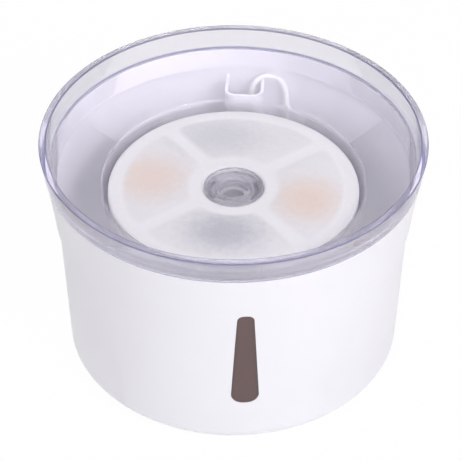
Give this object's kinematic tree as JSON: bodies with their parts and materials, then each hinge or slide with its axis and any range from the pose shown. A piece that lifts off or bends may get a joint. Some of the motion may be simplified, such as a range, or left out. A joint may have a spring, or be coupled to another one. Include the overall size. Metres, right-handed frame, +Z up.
{
  "type": "pet water fountain",
  "caption": "Round pet drinking fountain: white water tank with a smoked level window, clear drinking tray, round filter disc, outlet hub, submersible pump and a thin USB lead.",
  "frame": {"origin": "on the table, under the middle of the round tank", "axes": "+Z up; the level window looks to -Y, the hand grips lie on -X and +X, and the lead leaves at +Y"},
  "size_m": [0.1996, 0.2591, 0.134],
  "materials": {
    "tank_white": "moulded glossy white",
    "foot_rubber": "soft grey rubber",
    "smoked_window": "smoked see-through plastic",
    "window_seal": "dark seal",
    "clear_tray": "clear moulded plastic",
    "clear_hub": "clear moulded plastic",
    "filter_fleece": "non-woven fleece",
    "carbon_grains": "activated carbon grains",
    "resin_grains": "ion exchange resin beads",
    "pump_plastic": "moulded plastic",
    "dial_plastic": "moulded plastic",
    "sponge_foam": "open-cell foam",
    "impeller_plastic": "moulded plastic",
    "magnet": "sintered ferrite",
    "shaft_steel": "ground steel",
    "bush_rubber": "rubber",
    "core_steel": "laminated steel",
    "coil_copper": "enamelled copper winding",
    "board_green": "circuit board",
    "riser_silicone": "milky silicone",
    "cup_rubber": "soft silicone",
    "cable_white": "soft white jacket",
    "tie_black": "cable tie",
    "plug_white": "white overmould",
    "plug_steel": "nickel-plated steel",
    "plug_tongue": "contact block"
  },
  "bodies": {
    "tank": {"tank_body": "tank_white", "foot_pad_1": "foot_rubber", "foot_pad_2": "foot_rubber", "foot_pad_3": "foot_rubber", "foot_pad_4": "foot_rubber", "level_window": "smoked_window", "window_seal": "window_seal", "pump_housing": "pump_plastic", "impeller_cover": "pump_plastic", "motor_back_cover": "pump_plastic", "intake_cover": "pump_plastic", "intake_sponge": "sponge_foam", "impeller_shaft": "shaft_steel", "front_bush": "bush_rubber", "rear_bush": "bush_rubber", "stator_core": "core_steel", "stator_coil": "coil_copper", "driver_board": "board_green", "riser_tube": "riser_silicone", "suction_cup_1": "cup_rubber", "suction_cup_2": "cup_rubber", "suction_cup_3": "cup_rubber", "suction_cup_4": "cup_rubber", "cable_gland": "cable_white", "pump_cord": "cable_white", "cord_coil": "cable_white", "plug_cord": "cable_white", "coil_tie": "tie_black", "plug_grip": "plug_white", "plug_shell": "plug_steel", "plug_tongue": "plug_tongue"},
    "tray": {"drinking_tray": "clear_tray"},
    "hub": {"outlet_hub": "clear_hub"},
    "filter": {"filter_top_fleece": "filter_fleece", "filter_bottom_fleece": "filter_fleece", "carbon_fill_front": "carbon_grains", "carbon_fill_back": "carbon_grains", "resin_fill_left": "resin_grains", "resin_fill_right": "resin_grains"},
    "rotor": {"impeller": "impeller_plastic", "rotor_magnet": "magnet"},
    "dial": {"flow_dial": "dial_plastic"}
  },
  "joints": [
    {"name": "tray_lift", "type": "slide", "parent": "tank", "child": "tray", "axis": [0, 0, 1], "range_m": [0, 0.08]},
    {"name": "filter_lift", "type": "slide", "parent": "tray", "child": "filter", "axis": [0, 0, 1], "range_m": [0, 0.06]},
    {"name": "hub_turn", "type": "hinge", "parent": "tray", "child": "hub", "pos_m": [0, 0, 0.1], "axis": [0, 0, 1], "range_deg": [0, 30]},
    {"name": "impeller_spin", "type": "hinge", "parent": "tank", "child": "rotor", "pos_m": [0, 0, 0.031], "axis": [0, 1, 0], "continuous": true},
    {"name": "dial_turn", "type": "hinge", "parent": "tank", "child": "dial", "pos_m": [0, -0.019, 0.031], "axis": [0, -1, 0], "range_deg": [0, 90]}
  ]
}
